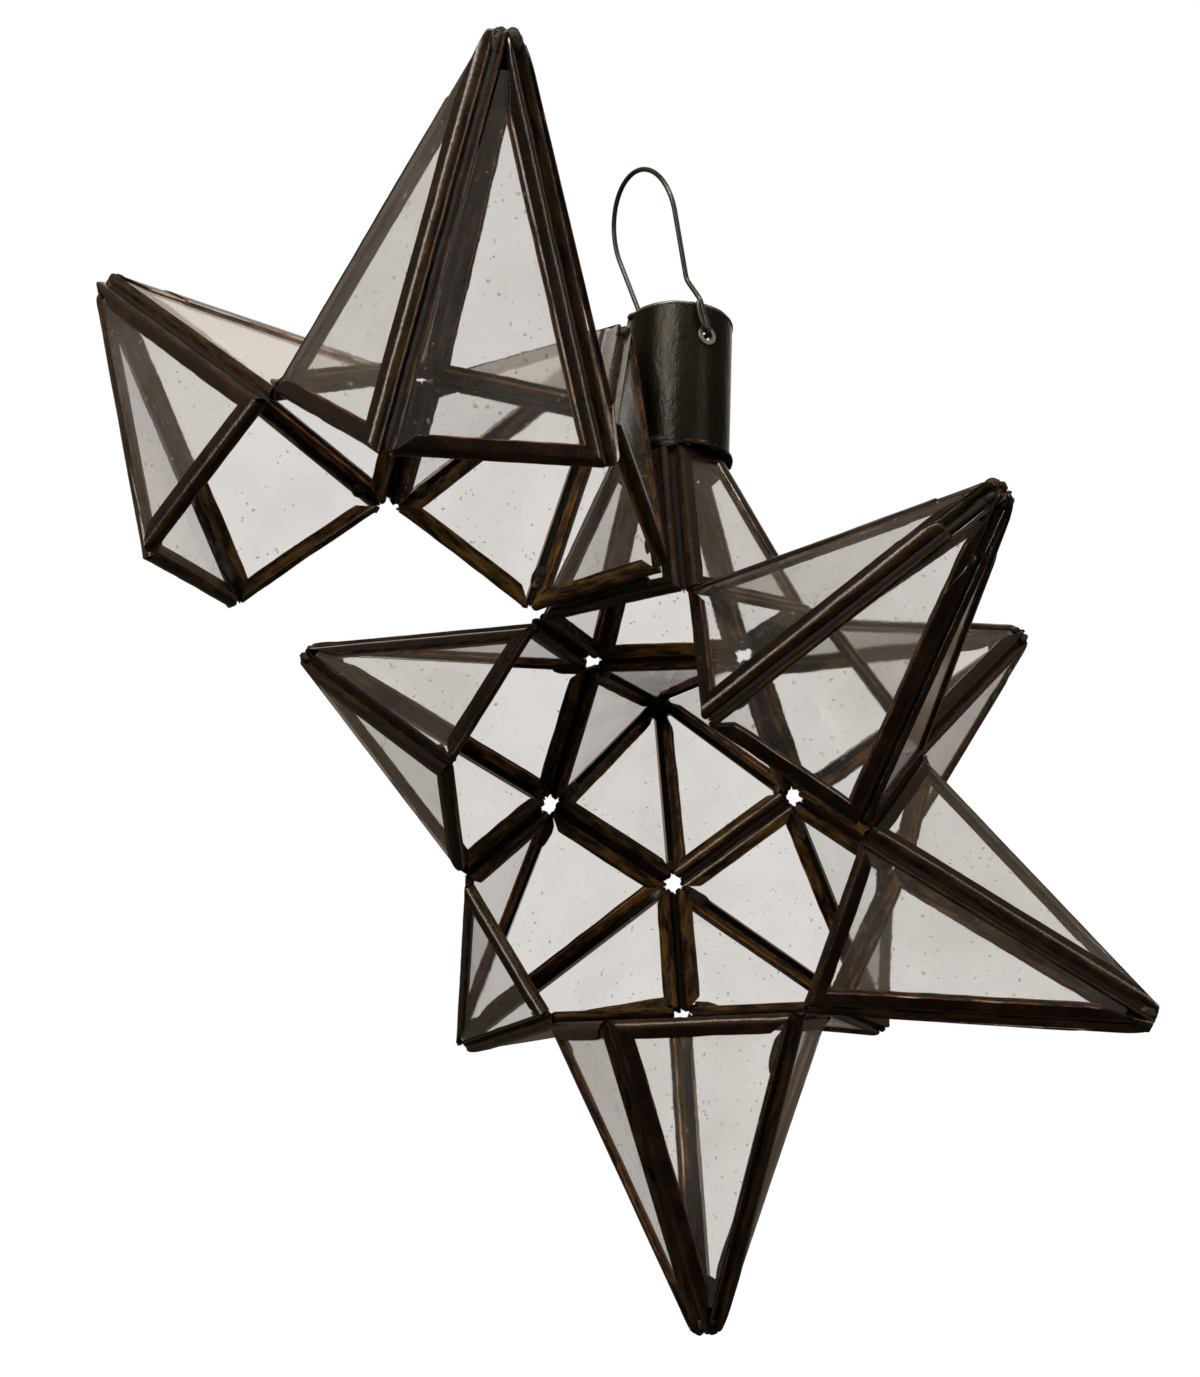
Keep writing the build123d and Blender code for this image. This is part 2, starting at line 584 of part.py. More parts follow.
def star_nodes():
    """Nodes of the lamp itself, with the door shut."""
    nodes = {
        "star_solder": solder([name for name in POINTS if name not in DOOR]),
        "neck_plate": [neck_plate()],
        "neck_tube": [neck_tube()],
        "neck_solder": [neck_solder()],
        "neck_eyelets": eyelets(),
        "hinge_star_knuckles": star_knuckles(),
        "hinge_pin": [hinge_pin()],
        "bail_wire": [bail_wire()],
        "lamp_strap": strap(),
        "lamp_nipple": nipple(),
        "lamp_nuts": nuts(),
        "lampholder_cap": holder_cap(),
        "lampholder_body": holder_body(),
        "lampholder_screw_shell": screw_shell(),
        "lampholder_contact": centre_contact(),
    }
    return nodes


def point_nodes(names):
    """Glass and strips of a group of points, three nodes to a point."""
    whole = point_pieces()
    short = top_point_pieces()
    nodes = {}
    for name in names:
        pieces = short if name == "top_point" else whole
        planes = panel_planes(name).values()
        for kind, solids in pieces.items():
            nodes[f"{name}_{kind}"] = place(solids, planes)
    return nodes


def write(nodes):
    """One file for each node, moved to the hook point."""
    os.makedirs("parts", exist_ok=True)
    for name, solids in nodes.items():
        group = Compound(label=name, children=[solid.moved(TO_ROW) for solid in solids])
        export_step(group, f"parts/{name}.step")


def main():
    star = point_nodes([name for name in POINTS if name not in DOOR]) | star_nodes()
    door = point_nodes(DOOR)
    door["door_solder"] = solder(DOOR)
    door["hinge_door_knuckle"] = [door_knuckle()]
    angle = door_angle()
    opened = {name: [solid.rotate(OPENED, -angle) for solid in solids] for name, solids in door.items()}
    write(star | opened)
    pivot = (NECK * PIVOT).position - HOOK
    pivot_axis = (NECK * PIVOT * Pos(1, 0, 0)).position - HOOK - pivot
    print("star centre", HOOK * -1)
    print("door hinge", HINGE_POINT - HOOK, HINGE_AXIS, "opened by", angle)
    print("bail pivot", pivot, pivot_axis)
    print("neck foot", NECK.origin - HOOK, "neck axis", NECK.z_dir)


main()
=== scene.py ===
import json
from math import acos, atan, atan2, copysign, cos, pi, radians, sin, sqrt, tan

import bmesh
import bpy
from mathutils import Matrix, Vector, noise
from mathutils.bvhtree import BVHTree


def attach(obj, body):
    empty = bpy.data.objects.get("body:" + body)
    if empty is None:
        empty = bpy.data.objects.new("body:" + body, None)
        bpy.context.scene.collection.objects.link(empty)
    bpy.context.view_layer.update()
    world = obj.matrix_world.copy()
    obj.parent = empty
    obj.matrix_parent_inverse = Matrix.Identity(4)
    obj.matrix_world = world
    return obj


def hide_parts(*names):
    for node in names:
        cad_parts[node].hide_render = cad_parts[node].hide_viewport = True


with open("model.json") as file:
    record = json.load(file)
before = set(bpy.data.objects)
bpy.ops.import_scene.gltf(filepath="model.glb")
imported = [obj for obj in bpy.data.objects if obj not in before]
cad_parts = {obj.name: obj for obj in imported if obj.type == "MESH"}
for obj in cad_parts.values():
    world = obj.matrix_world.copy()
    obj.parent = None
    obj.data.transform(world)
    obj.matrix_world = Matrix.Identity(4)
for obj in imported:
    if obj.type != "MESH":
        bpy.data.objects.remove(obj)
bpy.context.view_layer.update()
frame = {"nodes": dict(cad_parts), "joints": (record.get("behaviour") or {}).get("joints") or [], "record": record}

# Looks of the star lamp: worn strips, solder, glass, neck and bail, in the CAD model's frame, in metres.
nodes = frame["nodes"]
mm = 0.001

# Sizes that the solids are drawn with
CENTRE = Vector((9.6439, 9.94074, -220.392)) * mm
BASE_EDGE = 53.5 * mm
APEX = 155.5 * mm
TIP_CUT = 149.0 * mm
CAME_WIDTH = 4.8 * mm
CAME_THICK = 4.8 * mm
CAME_ROUND = 1.2 * mm
CAME_SPINE = 1.2 * mm
SLOT_HALF = 1.54 * mm
RIDGE_SEAM = 0.2 * mm
BASE_SEAM = 0.4 * mm
TOP_HALF = 14.4 * mm
NECK_FOOT = Vector((11.9439, 9.94074, -101.46)) * mm
NECK_AXIS = Vector((0.073238, 0, 0.997314))
NECK_LENGTH = 50.0 * mm
NECK_LEAN = radians(4.2)
NECK_RADIUS = 18.0 * mm
BAIL_PIVOT = Vector((14.7929, 9.94074, -62.6648)) * mm
BAIL_AXIS = Vector((0.45587, -0.889416, -0.033477))
BAIL_LOOP = Vector((4.257, 2.861, -18.035)) * mm
BAIL_LEG = 19.98 * mm
WIRE_RADIUS = 0.85 * mm
DOOR_OPENED = 97.962

# Camera at the photograph's place
CAMERA_PLACE = Vector((-0.01995, -0.43113, -0.28075))
CAMERA_LOOK = Vector((0.05687, 0.96656, 0.25007))
CAMERA_UP = Vector((0.02659, -0.25186, 0.96740))
CAMERA_SENSOR = 36.0
CAMERA_LENS = 36.89
CAMERA_SHIFT = (-0.0476, -0.0270)

# Floor, room and lights, each light with its place, width, height and power
FLOOR_SIZE = 12.0
FLOOR_LEVEL = -0.62
ROOM_LOW = 0.055
ROOM_HIGH = 0.26
ROOM_TINT = (1.0, 0.76, 0.55, 1)
BACKDROP_TINT = (0.80, 0.78, 0.76, 1)
LIGHT_TINT = (1.0, 0.93, 0.84)
LIGHT_AIM = Vector((0, 0, -0.2))
LIGHTS = {
    "left_strip": ((-0.60, -0.75, 0.05), 0.14, 1.3, 11),
    "top_strip": ((0.20, -0.60, 0.55), 0.7, 0.14, 6),
    "key": ((-0.35, -0.85, 0.45), 0.20, 0.20, 8),
    "right_strip": ((0.75, -0.55, -0.15), 0.10, 1.0, 3),
    "back": ((0.1, 0.80, 0.60), 1.4, 1.0, 4),
}

# Angles and lengths of the star that follow from its sizes
RING_LATITUDE = atan(0.5)
FACE_HEIGHT = BASE_EDGE / 2 * sqrt((25 + 11 * sqrt(5)) / 10)
CORNER_RADIUS = BASE_EDGE * sqrt(3) * (1 + sqrt(5)) / 4
APOTHEM = BASE_EDGE / (2 * tan(pi / 5))
SLANT = sqrt((APEX - FACE_HEIGHT) ** 2 + APOTHEM ** 2)
PANE_TILT = atan2(APEX - FACE_HEIGHT, APOTHEM)
VALLEY = 2 * pi - acos(-1 / sqrt(5)) - 2 * PANE_TILT
RIDGE_DIHEDRAL = pi - acos(cos(PANE_TILT) ** 2 + sin(PANE_TILT) ** 2 * cos(2 * pi / 5))
FOLD_FLAT = CAME_THICK / 2 - CAME_ROUND


def strip_inset(seam, angle):
    """How far a strip's fold lies from the edge where two panes meet at an angle."""
    return (seam / 2 + CAME_ROUND + FOLD_FLAT * cos(angle / 2)) / sin(angle / 2) - CAME_ROUND


RIDGE_INSET = strip_inset(RIDGE_SEAM, RIDGE_DIHEDRAL)
BASE_INSET = strip_inset(BASE_SEAM, VALLEY)

# The worn strips' round folds, and where solder lies between two of them
FOLD_RADIUS = CAME_THICK / 2
LIP_ROUND = 0.35 * mm
END_ROUND = 0.9 * mm
END_SHARES = (1, 0.6, 0.3, 0.1, 0)
STATION_STEP = 2.2 * mm
KINK_AT = 0.82
KINK_STEPS = (-1.6, -1.0, -0.5, -0.2, 0.1, 0.3, 0.5, 0.7, 1.1)
KINK_SMALL = 0.4 * mm
KINKS = {"upper_right_front_point": 1.1 * mm}
RIDGE_LENGTH = sqrt((APEX - FACE_HEIGHT) ** 2 + (BASE_EDGE / (2 * sin(pi / 5))) ** 2)
RIDGE_END = RIDGE_LENGTH * (TIP_CUT - FACE_HEIGHT) / (APEX - FACE_HEIGHT)
TOP_RIDGE_END = RIDGE_LENGTH * (1 - TOP_HALF / APOTHEM)
RIDGE_SEAT = -(FOLD_RADIUS + RIDGE_INSET) * cos(RIDGE_DIHEDRAL / 2)
BASE_SEAT = (FOLD_RADIUS + BASE_INSET) * cos(VALLEY / 2)
HOLE_HALF = 2.6 * mm
HOLE_LUMPS = 6
CUT_LEAST = 0.7 * mm
CUT_MORE = 0.6 * mm
SHARP_ANGLE = radians(38)

# Half width, half height, step and end of the runs of solder, and the first seed of each kind of solder
SEAM_RUN = (1.5 * mm, 0.65 * mm)
RIDGE_RUN = (1.2 * mm, 0.6 * mm)
RUN_STEP = 1.8 * mm
RUN_ROUND = 1.2 * mm
RUN_STOP = 1.5 * mm
SEEDS = {"seam": 40, "ridge": 90, "base": 100, "plate": 600, "tip": 1100, "hole": 1700}

# Thin tubes' sides, and the neck's rim and foot
TUBE_TURNS = [2 * pi * i / 10 for i in range(10)]
RIM_STEPS = 120
BURR_TURN = radians(200)
FOOT_BLOBS = 34

# How the solids' triangles are read
FAR = 0.3
SKIN = 0.12 * mm
WELD = 0.001 * mm
MIDDLE = 0.002 * mm
NUDGES = ((0, 0, 0), (0.03, 0.02, 0.05), (-0.03, -0.02, -0.05), (0.05, -0.04, -0.03), (-0.05, 0.04, 0.03))

# Azimuth in degrees and latitude of each point's axis
POINTS = {
    "top_point": (0, pi / 2),
    "bottom_point": (0, -pi / 2),
    "upper_back_point": (180, RING_LATITUDE),
    "upper_right_back_point": (108, RING_LATITUDE),
    "upper_left_back_point": (-108, RING_LATITUDE),
    "upper_right_front_point": (36, RING_LATITUDE),
    "door_upper_point": (-36, RING_LATITUDE),
    "door_front_point": (0, -RING_LATITUDE),
    "door_left_point": (-72, -RING_LATITUDE),
    "lower_right_point": (72, -RING_LATITUDE),
    "lower_right_back_point": (144, -RING_LATITUDE),
    "lower_left_back_point": (-144, -RING_LATITUDE),
}


def direction(azimuth, latitude):
    """Unit vector at an azimuth in degrees, from the front to the right, and a latitude."""
    turn = radians(azimuth)
    return Vector((sin(turn) * cos(latitude), -cos(turn) * cos(latitude), sin(latitude)))


AXES = {name: direction(*angles) for name, angles in POINTS.items()}


def door_turn():
    """From the door's shut place to where it stands open."""
    joint = next(j for j in frame["joints"] if j["name"] == "door_hinge")
    place = Matrix.Translation(Vector(joint["pos_m"]))
    turn = Matrix.Rotation(radians(-DOOR_OPENED), 4, Vector(joint["axis"]))
    return place @ turn @ place.inverted()


DOOR_TURN = door_turn()


def body_of(name):
    """The body that a point belongs to."""
    return "door" if name.startswith("door") else "star"


def shown(name):
    """From the star's own frame to where a point stands at rest."""
    place = Matrix.Translation(CENTRE)
    return DOOR_TURN @ place if body_of(name) == "door" else place


def around(name):
    """The five points next to a point, counter-clockwise seen from outside."""
    axis = AXES[name]
    ring = [other for other in AXES if 0 < AXES[other].dot(axis) < 0.9]
    first = (AXES[ring[0]] - axis * AXES[ring[0]].dot(axis)).normalized()
    second = axis.cross(first)
    return sorted(ring, key=lambda other: atan2(AXES[other].dot(second), AXES[other].dot(first)))


def corner(*names):
    """The corner of the dodecahedron that three points share."""
    return sum((AXES[name] for name in names), Vector()).normalized() * CORNER_RADIUS


def frame_matrix(origin, x_axis, z_axis):
    """A frame from its origin, its z axis and about where its x axis points."""
    z = z_axis.normalized()
    x = (x_axis - z * x_axis.dot(z)).normalized()
    rotation = Matrix((x, z.cross(x), z)).transposed().to_4x4()
    return Matrix.Translation(origin) @ rotation


def panels(name):
    """Each pane's own frame at rest: x along its base edge, y up the slant, z outward."""
    ring = around(name)
    frames = []
    for i, near in enumerate(ring):
        start = corner(name, ring[i - 1], near)
        end = corner(name, near, ring[(i + 1) % 5])
        middle = (start + end) / 2
        along = end - start
        slope = AXES[name] * APEX - middle
        frames.append(shown(name) @ frame_matrix(middle, along, along.cross(slope)))
    return frames


def ridges(name):
    """Each ridge's own frame at rest: z up the ridge from its base corner, y outward."""
    ring = around(name)
    frames = []
    for i, near in enumerate(ring):
        foot = corner(name, ring[i - 1], near)
        run = AXES[name] * APEX - foot
        frames.append(shown(name) @ frame_matrix(foot, AXES[name].cross(run), run))
    return frames


def seams(body):
    """Each base edge between two points of a body, as a frame with z along it and y outward."""
    frames = []
    for name in POINTS:
        for i, near in enumerate(around(name)):
            if name < near and body_of(name) == body_of(near) == body:
                ring = around(name)
                start = corner(name, ring[i - 1], near)
                along = corner(name, near, ring[(i + 1) % 5]) - start
                out = start + along / 2
                frames.append(shown(name) @ frame_matrix(start, out.cross(along), along))
    return frames


def meetings(body):
    """Each three points of a body that meet at a corner."""
    found = []
    for name in POINTS:
        ring = around(name)
        for i, near in enumerate(ring):
            names = (name, ring[i - 1], near)
            if name == min(names) and all(body_of(each) == body for each in names):
                found.append(names)
    return found


def smooth(value, low, high):
    """0 below low, 1 above high, eased between."""
    part = min(max((value - low) / (high - low), 0.0), 1.0)
    return part * part * (3 - 2 * part)


def wave(place, seed):
    """Even noise from -1 to 1 along a line."""
    return noise.noise(Vector((place, seed * 7.31 + 0.37, seed * 3.17)))


def chance(seed):
    """A fixed number from 0 to 1 for a seed."""
    return noise.cell(Vector((seed * 1.37 + 0.5, seed * 0.71 + 0.5, 0.5)))


def add_camera():
    """The camera, turned as the photograph's was."""
    look = CAMERA_LOOK.normalized()
    right = look.cross(CAMERA_UP).normalized()
    data = bpy.data.cameras.new("camera")
    data.sensor_width = CAMERA_SENSOR
    data.lens = CAMERA_LENS
    data.shift_x, data.shift_y = CAMERA_SHIFT
    data.clip_start = 0.01
    camera = bpy.data.objects.new("camera", data)
    turn = Matrix((right, right.cross(look), -look)).transposed().to_4x4()
    camera.matrix_world = Matrix.Translation(CAMERA_PLACE) @ turn
    bpy.context.scene.collection.objects.link(camera)
    bpy.context.scene.camera = camera


# Materials
class Shader:
    """A node tree with one principled shader, and short ways to add to it."""

    def __init__(self, name):
        self.material = bpy.data.materials.new(name)
        self.material.use_nodes = True
        self.tree = self.material.node_tree
        self.shader = self.tree.nodes["Principled BSDF"]
        self.place = self.tree.nodes.new("ShaderNodeTexCoord").outputs["Object"]

    def feed(self, socket, value):
        """Links an output to a socket, or sets the socket's own value."""
        if isinstance(value, bpy.types.NodeSocket):
            self.tree.links.new(value, socket)
        else:
            socket.default_value = value

    def set(self, **values):
        """Feeds the shader's sockets, named with _ for a space."""
        for name, value in values.items():
            self.feed(self.shader.inputs[name.replace("_", " ")], value)

    def node(self, kind, settings=None, **inputs):
        """Adds a node. Its inputs go by name, or by number as i0, i1 and so on."""
        made = self.tree.nodes.new(kind)
        for name, value in (settings or {}).items():
            setattr(made, name, value)
        for name, value in inputs.items():
            numbered = name[0] == "i" and name[1:].isdigit()
            self.feed(made.inputs[int(name[1:]) if numbered else name], value)
        return made

    def noise(self, scale, detail=4.0, rough=0.6, stretch=None, place=None):
        place = place or self.place
        if stretch:
            place = self.node("ShaderNodeMapping", Vector=place, Scale=stretch).outputs[0]
        made = self.node("ShaderNodeTexNoise", Vector=place, Scale=scale, Detail=detail, Roughness=rough)
        return made.outputs["Fac"]

    def attribute(self, name):
        return self.node("ShaderNodeAttribute", {"attribute_name": name}).outputs["Fac"]

    def step(self, value, low, high):
        made = self.node("ShaderNodeMapRange", {"interpolation_type": "SMOOTHSTEP"}, Value=value)
        made.inputs["From Min"].default_value = low
        made.inputs["From Max"].default_value = high
        return made.outputs["Result"]

    def span(self, value, low, high, to_low, to_high):
        made = self.node("ShaderNodeMapRange", Value=value)
        made.inputs["From Min"].default_value = low
        made.inputs["From Max"].default_value = high
        made.inputs["To Min"].default_value = to_low
        made.inputs["To Max"].default_value = to_high
        return made.outputs["Result"]

    def math(self, operation, first, second):
        return self.node("ShaderNodeMath", {"operation": operation}, i0=first, i1=second).outputs[0]

    def mix(self, share, first, second):
        made = self.node("ShaderNodeMix", {"data_type": "RGBA"}, i0=share, i6=first, i7=second)
        return made.outputs[2]

    def bump(self, height, strength, distance):
        made = self.node("ShaderNodeBump", Height=height, Strength=strength, Distance=distance)
        return made.outputs["Normal"]


def strip_material():
    """Near-black patina on folded tin, chocolate outside, golden brown inside, rusty along the glass."""
    s = Shader("came_tin")
    across = s.attribute("across")
    level = s.attribute("level")
    run = s.attribute("run")
    x = s.math("MULTIPLY", run, 60)
    y = s.math("MULTIPLY", across, 1.3)
    z = s.math("MULTIPLY", level, 0.9)
    lengthwise = s.node("ShaderNodeCombineXYZ", X=x, Y=y, Z=z)
    streak = s.noise(1.6, 5, 0.60, place=lengthwise.outputs[0])
    cloud = s.noise(85, 5)
    grain = s.noise(900, 6, 0.7)
    black = (0.0024, 0.0012, 0.0009, 1)
    chocolate = (0.0105, 0.0044, 0.0028, 1)
    olive = (0.0200, 0.0115, 0.0042, 1)
    gold = (0.1500, 0.0800, 0.0190, 1)
    rust = (0.3000, 0.1000, 0.0160, 1)
    base = s.mix(s.step(cloud, 0.44, 0.70), black, chocolate)
    fold = s.step(across, 0.42, 0.10)
    base = s.mix(s.math("MULTIPLY", fold, s.step(streak, 0.38, 0.68)), base, olive)
    inside = s.step(level, 0.1, -0.7)
    base = s.mix(s.math("MULTIPLY", inside, s.step(streak, 0.30, 0.66)), base, olive)
    base = s.mix(s.math("MULTIPLY", inside, s.step(streak, 0.38, 0.80)), base, gold)
    lip = s.step(across, 0.91, 0.985)
    worn = s.math("MULTIPLY", s.step(streak, 0.44, 0.60), s.span(level, 0.1, -0.7, 0.25, 1.0))
    worn = s.math("ADD", worn, s.math("MULTIPLY", inside, 0.3))
    base = s.mix(s.math("MULTIPLY", lip, s.math("MINIMUM", worn, 0.85)), base, rust)
    lumps = s.math("ADD", s.math("MULTIPLY", s.noise(480, 3), 0.6), s.math("MULTIPLY", grain, 0.4))
    s.set(Base_Color=base, Roughness=s.span(grain, 0.3, 0.7, 0.16, 0.30), Metallic=0.0)
    s.set(Specular_IOR_Level=0.40, Specular_Tint=(1.0, 0.92, 0.82, 1))
    s.set(Normal=s.bump(lumps, 0.30, 0.0004))
    return s.material


def solder_material():
    """Blackened solder, greyer and pitted where it was left thick."""
    s = Shader("solder")
    bare = s.attribute("bare")
    cloud = s.noise(240, 5, 0.65)
    fine = s.noise(1300, 5)
    pits = s.step(s.noise(700, 3), 0.62, 0.70)
    dark = (0.0036, 0.0022, 0.0016, 1)
    grey = (0.0600, 0.0510, 0.0400, 1)
    bright = (0.1100, 0.0980, 0.0800, 1)
    base = s.mix(s.math("MULTIPLY", bare, s.step(cloud, 0.34, 0.58)), dark, grey)
    base = s.mix(s.math("MULTIPLY", bare, s.step(cloud, 0.62, 0.72)), base, bright)
    base = s.mix(s.math("MULTIPLY", bare, pits), base, dark)
    height = s.math("SUBTRACT", fine, s.math("MULTIPLY", pits, 1.2))
    rough = s.math("ADD", s.span(bare, 0, 0.5, 0.62, 0.24), s.span(fine, 0.3, 0.7, -0.06, 0.12))
    s.set(Base_Color=base, Roughness=rough, Metallic=s.math("MULTIPLY", bare, 0.4))
    s.set(Normal=s.bump(height, 0.4, 0.0003), Specular_IOR_Level=0.12)
    return s.material


def glass_material():
    """Old clear sheet glass: a faint grey, with seeds, dust and a soft ripple."""
    s = Shader("pane_glass")
    haze = s.noise(28, 5)
    seed = s.noise(520, 2, 0.4)
    speck = s.step(seed, 0.70, 0.76)
    clear = (0.96, 0.955, 0.945, 1)
    dusty = (0.84, 0.825, 0.80, 1)
    base = s.mix(s.math("MULTIPLY", s.step(haze, 0.4, 0.75), 0.55), clear, dusty)
    base = s.mix(speck, base, (0.45, 0.43, 0.39, 1))
    through = s.math("SUBTRACT", s.span(haze, 0.3, 0.75, 0.995, 0.97), s.math("MULTIPLY", speck, 0.2))
    ripple = s.math("ADD", s.noise(22, 2), s.math("MULTIPLY", seed, 0.05))
    s.set(Base_Color=base, Transmission_Weight=through, Roughness=s.span(haze, 0.3, 0.8, 0.01, 0.07), IOR=1.5)
    s.set(Normal=s.bump(ripple, 0.12, 0.001))
    return s.material


def neck_material(name, tone):
    """Olive-black patina on sheet tin, mottled, with a soft gloss."""
    s = Shader(name)
    cloud = s.noise(70, 6, 0.65, (1, 1, 0.4))
    grain = s.noise(900, 5, 0.7)
    dark = tuple(0.28 * value for value in tone) + (1,)
    base = s.mix(s.step(cloud, 0.36, 0.66), dark, tone + (1,))
    base = s.mix(s.step(s.noise(420, 4), 0.69, 0.75), base, (0.06, 0.045, 0.026, 1))
    s.set(Base_Color=base, Roughness=s.span(cloud, 0.3, 0.7, 0.36, 0.18), Specular_IOR_Level=0.08)
    s.set(Specular_Tint=(1.0, 0.95, 0.84, 1))
    s.set(Normal=s.bump(s.math("ADD", cloud, s.math("MULTIPLY", grain, 0.10)), 0.9, 0.0008))
    return s.material


def metal_material(name, tone, metallic, rough):
    """A plain metal with fine grain and dull patches."""
    s = Shader(name)
    cloud = s.noise(150, 4)
    grain = s.noise(1500, 4)
    dark = tuple(0.6 * value for value in tone) + (1,)
    base = s.mix(s.step(cloud, 0.4, 0.65), tone + (1,), dark)
    s.set(Base_Color=base, Metallic=metallic, Roughness=s.span(grain, 0.3, 0.7, rough - 0.08, rough + 0.1))
    s.set(Normal=s.bump(grain, 0.15, 0.0002))
    return s.material


def floor_material():
    """A plain white floor that runs into the white behind it."""
    s = Shader("floor")
    tone = s.mix(s.noise(3, 3), (0.10, 0.10, 0.10, 1), (0.12, 0.12, 0.12, 1))
    s.set(Base_Color=tone, Roughness=0.7, Specular_IOR_Level=0.1)
    s.set(Emission_Color=(1, 1, 1, 1), Emission_Strength=0.98)
    return s.material


MATERIALS = {
    "came_tin": strip_material(),
    "pane_glass": glass_material(),
    "solder": solder_material(),
    "neck_tin": neck_material("neck_tin", (0.0070, 0.0054, 0.0028)),
    "hinge_tin": neck_material("hinge_tin", (0.016, 0.011, 0.007)),
    # The lighter tin is rubbed metal and also, on the neck's rim, a painted highlight of the bright line along the
    # rim.
    "wear_and_highlight_tin": metal_material("wear_and_highlight_tin", (0.10, 0.09, 0.075), 0.5, 0.30),
    "bail_wire": metal_material("bail_wire", (0.030, 0.027, 0.024), 0.6, 0.32),
    "lamp_steel": metal_material("lamp_steel", (0.45, 0.45, 0.43), 0.9, 0.4),
    "lamp_plastic": metal_material("lamp_plastic", (0.02, 0.02, 0.02), 0.0, 0.5),
    "lamp_brass": metal_material("lamp_brass", (0.62, 0.42, 0.16), 1.0, 0.35),
}

# Nodes whose finish differs from their slot's
# The eyelets take the lighter tin that also paints the highlight on the neck's rim.
PAINT = {"neck_eyelets": "wear_and_highlight_tin"}


def paint_nodes():
    """Gives every CAD node the finish of its slot in the record."""
    for part in frame["record"]["subparts"]:
        slots = nodes[part["node"]].data.materials
        slots.clear()
        slots.append(MATERIALS[PAINT.get(part["node"], part["material_slot"])])


# Worn strips
class Mesh:
    """Points, faces and named point values, gathered for one object."""

    def __init__(self, *names):
        self.points = []
        self.faces = []
        self.values = {name: [] for name in names}

    def add(self, points, faces, place, **values):
        """Takes points and faces, moved to a place. A value is one number or one for each point."""
        first = len(self.points)
        self.points += [place @ point for point in points]
        self.faces += [[first + i for i in face] for face in faces]
        for name, gathered in self.values.items():
            value = values[name]
            gathered += value if isinstance(value, list) else [value] * len(points)

    def finish(self, name, slot, body, *replaced, paint=None):
        """Makes the object, with its finish, its body and the nodes that it stands for."""
        mesh = bpy.data.meshes.new(name)
        mesh.from_pydata(self.points, [], self.faces)
        for key, values in self.values.items():
            mesh.attributes.new(key, "FLOAT", "POINT").data.foreach_set("value", values)
        turned = bmesh.new()
        turned.from_mesh(mesh)
        bmesh.ops.recalc_face_normals(turned, faces=turned.faces)
        turned.to_mesh(mesh)
        turned.free()
        mesh.shade_smooth()
        mesh.set_sharp_from_angle(angle=SHARP_ANGLE)
        mesh.materials.append(MATERIALS[paint or slot])
        made = bpy.data.objects.new(name, mesh)
        bpy.context.scene.collection.objects.link(made)
        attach(made, body)
        if replaced:
            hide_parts(*replaced)
        return made


def tube_faces(rings, count):
    """Faces that join rings of a count of points into a closed tube."""
    faces = []
    for i in range(rings - 1):
        for j in range(count):
            k = (j + 1) % count
            faces.append([i * count + j, i * count + k, (i + 1) * count + k, (i + 1) * count + j])
    last = (rings - 1) * count
    return faces + [list(range(count)), list(range(last, last + count))]


def strip_profile():
    """A strip's section, as depth from the fold and height over the pane: outside, then the slot."""
    half = [(CAME_WIDTH, FOLD_RADIUS - LIP_ROUND), (CAME_WIDTH - LIP_ROUND, FOLD_RADIUS)]
    half.append(((CAME_WIDTH + FOLD_RADIUS) / 2, FOLD_RADIUS))
    turns = [pi * i / 14 for i in range(7, 0, -1)]
    half += [(FOLD_RADIUS * (1 - cos(turn)), FOLD_RADIUS * sin(turn)) for turn in turns]
    slot = [(CAME_WIDTH, SLOT_HALF), (CAME_SPINE, SLOT_HALF)]
    lower = [(v, -w) for v, w in reversed(half)]
    return half + [(0.0, 0.0)] + lower + [(v, -w) for v, w in slot] + slot[::-1]


PROFILE = strip_profile()


def solids(node):
    """A node's triangles, by the solids that they belong to."""
    made = bmesh.new()
    made.from_mesh(nodes[node].data)
    bmesh.ops.triangulate(made, faces=made.faces)
    bmesh.ops.remove_doubles(made, verts=made.verts, dist=WELD)
    left = set(made.faces)
    found = []
    while left:
        waiting = [left.pop()]
        solid = []
        while waiting:
            face = waiting.pop()
            solid.append(([vert.co.copy() for vert in face.verts], face.normal.copy()))
            near = {other for vert in face.verts for other in vert.link_faces if other in left}
            left -= near
            waiting += near
        found.append(sorted(solid, key=lambda triangle: tuple(sum(triangle[0], Vector()))))
    made.free()
    return found


def sort_strips(node, frames):
    """A node's triangles by panel and by strip, in each panel's own frame."""
    strips = {}
    inverse = [place.inverted() for place in frames]
    for solid in solids(node):
        middles = [sum(corners, Vector()) / 3 for corners, _ in solid]
        panel = min(range(5), key=lambda i: sum(abs((inverse[i] @ middle).z) for middle in middles))
        for (corners, normal), middle in zip(solid, middles):
            x, y, _ = inverse[panel] @ middle
            turned = inverse[panel].to_3x3() @ normal
            if node.endswith("rim_cames"):
                side = 0 if y < SLANT / 3 else 2
            elif abs(x) < MIDDLE:
                side = -1 if turned.x > 0 else 1
            else:
                side = 1 if x > 0 else -1
            strips.setdefault((panel, side), []).append([inverse[panel] @ point for point in corners])
    return strips


def strip_axes(side, top):
    """Start, direction and inward direction of a strip in its panel's frame."""
    if side == 0:
        return Vector((-BASE_EDGE / 2, BASE_INSET, 0)), Vector((1, 0, 0)), Vector((0, 1, 0))
    if side == 2:
        return Vector((-BASE_EDGE / 2, top, 0)), Vector((1, 0, 0)), Vector((0, -1, 0))
    along = Vector((-side * BASE_EDGE / 2, SLANT, 0)).normalized()
    inward = Vector((-side * SLANT, -BASE_EDGE / 2, 0)).normalized()
    return Vector((side * BASE_EDGE / 2, 0, 0)) + inward * RIDGE_INSET, along, inward


